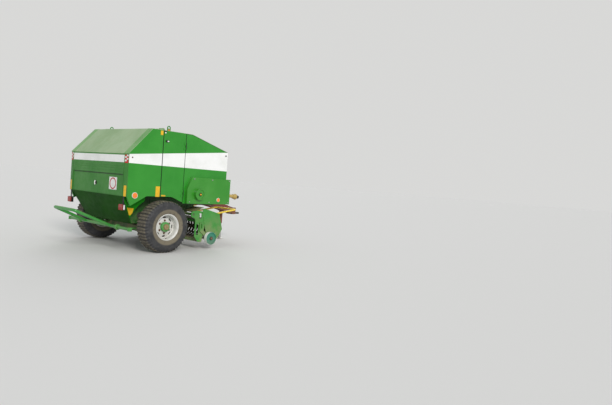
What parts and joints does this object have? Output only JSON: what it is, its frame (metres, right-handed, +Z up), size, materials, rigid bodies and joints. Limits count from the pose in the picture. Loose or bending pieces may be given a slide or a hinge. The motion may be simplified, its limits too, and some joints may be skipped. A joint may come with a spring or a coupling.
{
  "type": "round baler",
  "caption": "Towed round baler with roller chamber, swing-up tailgate, tined pickup, crop guards, bale kicker, doors, jack and drive shaft.",
  "frame": {"origin": "on the ground below the middle of the machine's length and width", "axes": "+X forward to the hitch, +Y to the machine's left, +Z up"},
  "size_m": [3.7798, 2.25, 2.0739],
  "materials": {
    "green_paint": "weathered gloss paint",
    "dark_green_paint": "weathered gloss paint",
    "roof_paint": "dusty faded paint",
    "rear_paint": "weathered gloss paint",
    "white_paint": "gloss paint",
    "red_paint": "weathered paint",
    "yellow_paint": "gloss paint",
    "steel": "worn",
    "rod_chrome": "polished",
    "rim_paint": "silver paint",
    "tyre": "dusty",
    "cast": "painted casting",
    "guard_plastic": "faded",
    "lamp": "clear",
    "gauge_plastic": "worn paint"
  },
  "bodies": {
    "chassis": {"chamber_walls": "green_paint", "side_panels": "green_paint", "roof_front": "roof_paint", "front_panel": "green_paint", "twine_box": "dark_green_paint", "rollers_front": "steel", "axle": "dark_green_paint", "kicker_arms": "dark_green_paint", "drawbar": "red_paint", "hitch_eye": "cast", "gearbox": "cast", "lifting_eyes": "green_paint", "jack_tube": "red_paint"},
    "jack": {"jack_leg": "steel"},
    "drive_shaft": {"pto_shaft": "guard_plastic"},
    "right_door": {"door_right": "green_paint", "chain_cover": "green_paint"},
    "left_door": {"door_left": "green_paint"},
    "lid": {"box_lid": "green_paint"},
    "tailgate": {"tail_walls": "green_paint", "tail_side_panels": "green_paint", "tail_roof": "roof_paint", "rear_panel": "rear_paint", "lower_panel": "dark_green_paint", "rollers_rear": "steel", "rear_lamps": "lamp", "sign_plate": "white_paint"},
    "wheel_right": {"tyre_right": "tyre", "rim_right": "rim_paint", "hub_right": "green_paint"},
    "wheel_left": {"tyre_left": "tyre", "rim_left": "rim_paint", "hub_left": "green_paint"},
    "pickup": {"pickup_frame": "green_paint", "pickup_bands": "steel"},
    "reel": {"pickup_reel": "steel"},
    "gauge_right": {"gauge_wheel_right": "gauge_plastic"},
    "gauge_left": {"gauge_wheel_left": "gauge_plastic"},
    "guard_right": {"crop_guard_right": "yellow_paint"},
    "guard_left": {"crop_guard_left": "yellow_paint"},
    "rotor": {"feed_rotor": "steel"},
    "kicker": {"bale_kicker": "green_paint"},
    "cylinder_right": {"barrel_right": "cast"},
    "rod_right_body": {"rod_right": "rod_chrome"},
    "cylinder_left": {"barrel_left": "cast"},
    "rod_left_body": {"rod_left": "rod_chrome"}
  },
  "joints": [
    {"name": "tailgate_swing", "type": "hinge", "parent": "chassis", "child": "tailgate", "pos_m": [-0.744, 0, 2.008], "axis": [0, 1, 0], "range_deg": [0, 70]},
    {"name": "jack_slide", "type": "slide", "parent": "chassis", "child": "jack", "axis": [0, 0, 1], "range_m": [0, 0.3]},
    {"name": "shaft_swing", "type": "hinge", "parent": "chassis", "child": "drive_shaft", "pos_m": [0.956, 0, 0.97], "axis": [0, -1, 0], "range_deg": [0, 20]},
    {"name": "right_door_swing", "type": "hinge", "parent": "chassis", "child": "right_door", "pos_m": [-0.292, -0.912, 1], "axis": [0, 0, -1], "range_deg": [0, 100]},
    {"name": "left_door_swing", "type": "hinge", "parent": "chassis", "child": "left_door", "pos_m": [-0.292, 0.912, 1], "axis": [0, 0, 1], "range_deg": [0, 100]},
    {"name": "lid_swing", "type": "hinge", "parent": "chassis", "child": "lid", "pos_m": [-0.159, 0, 2], "axis": [0, -1, 0], "range_deg": [0, 75]},
    {"name": "right_wheel_spin", "type": "hinge", "parent": "chassis", "child": "wheel_right", "pos_m": [-0.704, -0.979, 0.422], "axis": [0, 1, 0], "continuous": true},
    {"name": "left_wheel_spin", "type": "hinge", "parent": "chassis", "child": "wheel_left", "pos_m": [-0.704, 0.979, 0.422], "axis": [0, 1, 0], "continuous": true},
    {"name": "pickup_lift", "type": "hinge", "parent": "chassis", "child": "pickup", "pos_m": [-0.084, 0, 0.62], "axis": [0, -1, 0], "range_deg": [0, 12]},
    {"name": "reel_spin", "type": "hinge", "parent": "pickup", "child": "reel", "pos_m": [0.326, 0, 0.36], "axis": [0, 1, 0], "continuous": true},
    {"name": "right_gauge_spin", "type": "hinge", "parent": "pickup", "child": "gauge_right", "pos_m": [0.271, -1.027, 0.2], "axis": [0, 1, 0], "continuous": true},
    {"name": "left_gauge_spin", "type": "hinge", "parent": "pickup", "child": "gauge_left", "pos_m": [0.271, 1.027, 0.2], "axis": [0, 1, 0], "continuous": true},
    {"name": "right_guard_swing", "type": "hinge", "parent": "pickup", "child": "guard_right", "pos_m": [0.461, -0.6, 0.612], "axis": [0, -1, 0], "range_deg": [0, 25]},
    {"name": "left_guard_swing", "type": "hinge", "parent": "pickup", "child": "guard_left", "pos_m": [0.461, 0.6, 0.612], "axis": [0, -1, 0], "range_deg": [0, 25]},
    {"name": "rotor_spin", "type": "hinge", "parent": "chassis", "child": "rotor", "pos_m": [-0.164, 0, 0.56], "axis": [0, 1, 0], "continuous": true},
    {"name": "kicker_swing", "type": "hinge", "parent": "chassis", "child": "kicker", "pos_m": [-1.284, 0, 0.38], "axis": [0, -1, 0], "range_deg": [0, 50]},
    {"name": "right_cylinder_turn", "type": "hinge", "parent": "chassis", "child": "cylinder_right", "pos_m": [-0.274, -0.7585, 1.33], "axis": [0, 1, 0], "range_deg": [-1, 23]},
    {"name": "right_rod_slide", "type": "slide", "parent": "cylinder_right", "child": "rod_right_body", "axis": [-0.9571, 0, 0.2897], "range_m": [-0.01, 0.4872]},
    {"name": "left_cylinder_turn", "type": "hinge", "parent": "chassis", "child": "cylinder_left", "pos_m": [-0.274, 0.7585, 1.33], "axis": [0, 1, 0], "range_deg": [-1, 23]},
    {"name": "left_rod_slide", "type": "slide", "parent": "cylinder_left", "child": "rod_left_body", "axis": [-0.9571, 0, 0.2897], "range_m": [-0.01, 0.4872]}
  ],
  "couplings": [
    {"joint": "right_cylinder_turn", "follows": "tailgate_swing", "ratio": 0.31434},
    {"joint": "right_rod_slide", "follows": "tailgate_swing", "m_per_rad": 0.39061},
    {"joint": "left_cylinder_turn", "follows": "tailgate_swing", "ratio": 0.31434},
    {"joint": "left_rod_slide", "follows": "tailgate_swing", "m_per_rad": 0.39061}
  ]
}
